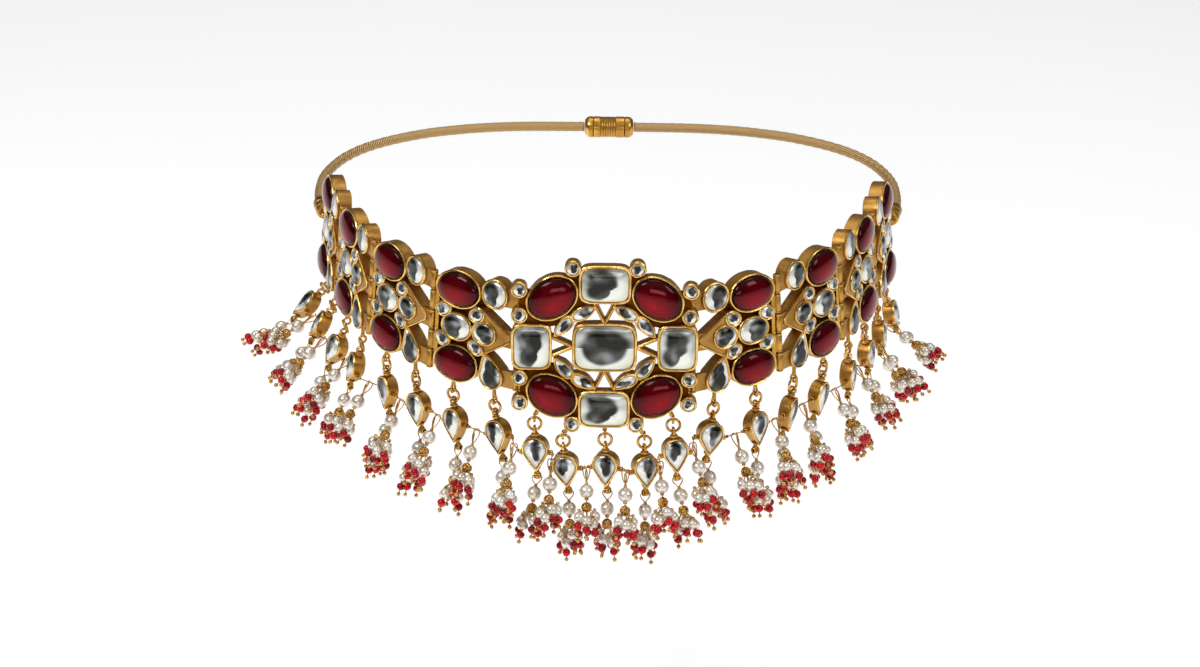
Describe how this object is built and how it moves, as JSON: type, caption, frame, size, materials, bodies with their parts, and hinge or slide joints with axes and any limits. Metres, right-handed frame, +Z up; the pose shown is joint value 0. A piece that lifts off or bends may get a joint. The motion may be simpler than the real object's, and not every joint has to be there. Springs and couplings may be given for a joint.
{
  "type": "choker necklace",
  "caption": "Stiff choker of hinged gold plates set with red and clear stones, pear drops on rings, a fringe of pearl clusters and a nape cord.",
  "frame": {"origin": "middle of the neck opening, level with the middle of the plates", "axes": "+Z up along the neck, -Y to the front where the centre plate is, +X to the picture's right"},
  "size_m": [0.166, 0.1324, 0.0656],
  "materials": {
    "gold": "satin, with polished lips",
    "red_stone": "polished, closed back",
    "clear_stone": "polished, on foil",
    "pearl": "pearl sheen, with red beads and gold ends",
    "cord": "twisted metallic thread"
  },
  "bodies": {
    "root": {"centre_plate": "gold", "centre_main_stone": "clear_stone", "centre_top_stone": "clear_stone", "centre_bottom_stone": "clear_stone", "centre_left_stone": "clear_stone", "centre_right_stone": "clear_stone", "centre_leaf_stones": "clear_stone", "centre_edge_stones": "clear_stone", "centre_red_stone_1": "red_stone", "centre_red_stone_2": "red_stone", "centre_red_stone_3": "red_stone", "centre_red_stone_4": "red_stone", "plate_left_1": "gold", "red_stone_top_left_1": "red_stone", "red_stone_foot_left_1": "red_stone", "clear_stones_left_1": "clear_stone", "plate_left_2": "gold", "red_stone_top_left_2": "red_stone", "red_stone_foot_left_2": "red_stone", "clear_stones_left_2": "clear_stone", "plate_left_3": "gold", "red_stone_top_left_3": "red_stone", "red_stone_foot_left_3": "red_stone", "clear_stones_left_3": "clear_stone", "plate_left_4": "gold", "red_stone_top_left_4": "red_stone", "red_stone_foot_left_4": "red_stone", "clear_stones_left_4": "clear_stone", "plate_right_1": "gold", "red_stone_top_right_1": "red_stone", "red_stone_foot_right_1": "red_stone", "clear_stones_right_1": "clear_stone", "plate_right_2": "gold", "red_stone_top_right_2": "red_stone", "red_stone_foot_right_2": "red_stone", "clear_stones_right_2": "clear_stone", "plate_right_3": "gold", "red_stone_top_right_3": "red_stone", "red_stone_foot_right_3": "red_stone", "clear_stones_right_3": "clear_stone", "plate_right_4": "gold", "red_stone_top_right_4": "red_stone", "red_stone_foot_right_4": "red_stone", "clear_stones_right_4": "clear_stone", "hinge_pins": "gold", "jump_rings": "gold", "drop_settings": "gold", "drop_stones": "clear_stone", "pearl_clusters_left": "pearl", "pearl_clusters_front": "pearl", "pearl_clusters_right": "pearl", "neck_cord_left": "cord", "neck_cord_right": "cord", "clasp": "gold", "cord_end_left": "gold", "cord_end_right": "gold"}
  },
  "joints": []
}
